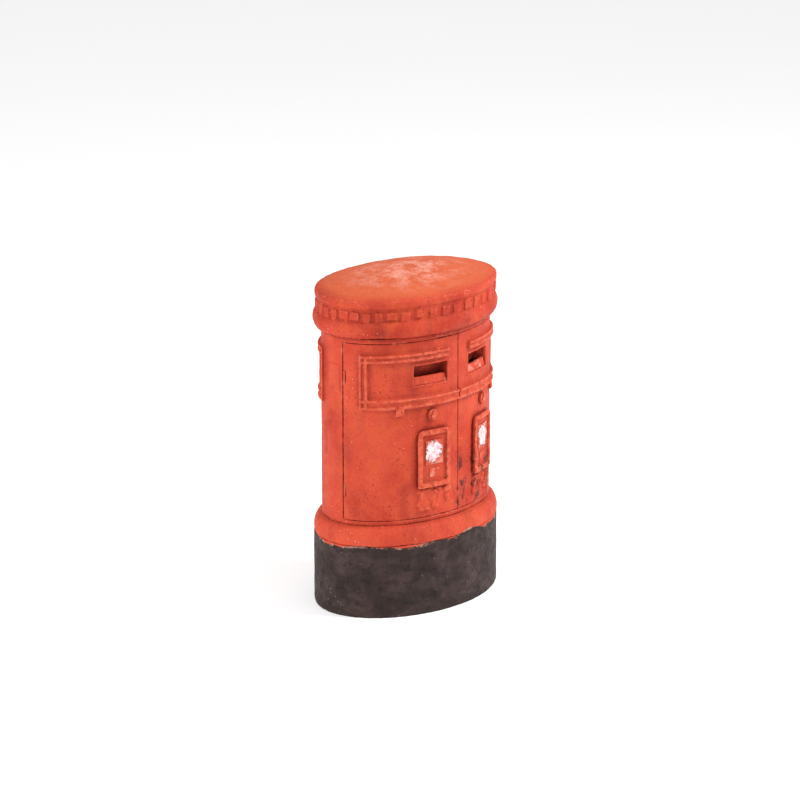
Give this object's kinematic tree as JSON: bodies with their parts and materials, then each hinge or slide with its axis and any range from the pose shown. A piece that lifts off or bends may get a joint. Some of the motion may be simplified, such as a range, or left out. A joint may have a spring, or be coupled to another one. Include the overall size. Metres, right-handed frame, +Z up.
{
  "type": "pillar mailbox",
  "caption": "Oval cast-iron pillar mailbox with twin posting slots, hinged front doors, domed cap with a dentil band, and a dark plinth.",
  "frame": {"origin": "centre of the bounding box on the ground plane", "axes": "+Z up, the doors face -Y, the long axis of the oval along X"},
  "size_m": [1.026, 0.722, 1.581],
  "materials": {
    "red_paint": "matte brushed paint, worn at edges",
    "black_paint": "matte, mottled and dusty",
    "inner_paint": "matte",
    "white_enamel": "chipped white enamel",
    "brass_fitting": "dull",
    "plain_steel": "oiled",
    "galvanised_sheet": "galvanised"
  },
  "bodies": {
    "pillar": {"base_plinth": "black_paint", "body_casting": "red_paint", "cap_bolt_1": "plain_steel", "cap_bolt_2": "plain_steel", "cap_bolt_3": "plain_steel", "cap_bolt_4": "plain_steel", "centre_post": "inner_paint", "compartment_divider": "galvanised_sheet", "compartment_floor": "galvanised_sheet", "dome_cap": "red_paint", "floor_screw_1": "plain_steel", "floor_screw_2": "plain_steel", "floor_screw_3": "plain_steel", "floor_screw_4": "plain_steel", "left_inner_guard_rail": "galvanised_sheet", "left_lower_hinge_leaf": "plain_steel", "left_lower_hinge_pin": "plain_steel", "left_outer_guard_rail": "galvanised_sheet", "left_upper_hinge_leaf": "plain_steel", "left_upper_hinge_pin": "plain_steel", "plinth_moulding": "red_paint", "right_inner_guard_rail": "galvanised_sheet", "right_lower_hinge_leaf": "plain_steel", "right_lower_hinge_pin": "plain_steel", "right_outer_guard_rail": "galvanised_sheet", "right_upper_hinge_leaf": "plain_steel", "right_upper_hinge_pin": "plain_steel"},
    "left_door_leaf": {"left_cover_rivet": "brass_fitting", "left_door": "red_paint", "left_lock_boss": "red_paint", "left_lock_case": "brass_fitting", "left_lower_plate_screw": "brass_fitting", "left_notice_frame": "red_paint", "left_notice_plate": "white_enamel", "left_slot_hood": "galvanised_sheet", "left_slot_lip": "red_paint", "left_upper_plate_screw": "brass_fitting"},
    "left_cover": {"left_keyhole_cover": "red_paint"},
    "left_bolt": {"left_lock_bolt": "plain_steel"},
    "left_tab": {"left_collection_tab": "white_enamel"},
    "left_guard": {"left_letter_guard": "galvanised_sheet"},
    "right_door_leaf": {"right_cover_rivet": "brass_fitting", "right_door": "red_paint", "right_lock_boss": "red_paint", "right_lock_case": "brass_fitting", "right_lower_plate_screw": "brass_fitting", "right_notice_frame": "red_paint", "right_notice_plate": "white_enamel", "right_slot_hood": "galvanised_sheet", "right_slot_lip": "red_paint", "right_upper_plate_screw": "brass_fitting"},
    "right_cover": {"right_keyhole_cover": "red_paint"},
    "right_bolt": {"right_lock_bolt": "plain_steel"},
    "right_tab": {"right_collection_tab": "white_enamel"},
    "right_guard": {"right_letter_guard": "galvanised_sheet"}
  },
  "joints": [
    {"name": "left_door_hinge", "type": "hinge", "parent": "pillar", "child": "left_door_leaf", "pos_m": [-0.46345, -0.03282, 0.88], "axis": [0, 0, -1], "range_deg": [0, 95]},
    {"name": "left_cover_swing", "type": "hinge", "parent": "left_door_leaf", "child": "left_cover", "pos_m": [-0.16178, -0.30164, 0.968], "axis": [-0.2398, -0.9708, 0], "range_deg": [-85, 85]},
    {"name": "left_bolt_slide", "type": "slide", "parent": "left_door_leaf", "child": "left_bolt", "axis": [1, 0, 0], "range_m": [0, 0.018]},
    {"name": "left_tab_slide", "type": "slide", "parent": "left_door_leaf", "child": "left_tab", "axis": [-0.2269, -0.9739, 0], "range_m": [0, 0.02]},
    {"name": "left_guard_slide", "type": "slide", "parent": "pillar", "child": "left_guard", "axis": [0, 0, 1], "range_m": [0, 0.2]},
    {"name": "right_door_hinge", "type": "hinge", "parent": "pillar", "child": "right_door_leaf", "pos_m": [0.46345, -0.03282, 0.88], "axis": [0, 0, 1], "range_deg": [0, 95]},
    {"name": "right_cover_swing", "type": "hinge", "parent": "right_door_leaf", "child": "right_cover", "pos_m": [0.1999, -0.29092, 0.968], "axis": [0.3017, -0.9534, 0], "range_deg": [-85, 85]},
    {"name": "right_bolt_slide", "type": "slide", "parent": "right_door_leaf", "child": "right_bolt", "axis": [-1, 0, 0], "range_m": [0, 0.018]},
    {"name": "right_tab_slide", "type": "slide", "parent": "right_door_leaf", "child": "right_tab", "axis": [0.2986, -0.9544, 0], "range_m": [0, 0.02]},
    {"name": "right_guard_slide", "type": "slide", "parent": "pillar", "child": "right_guard", "axis": [0, 0, 1], "range_m": [0, 0.2]}
  ]
}
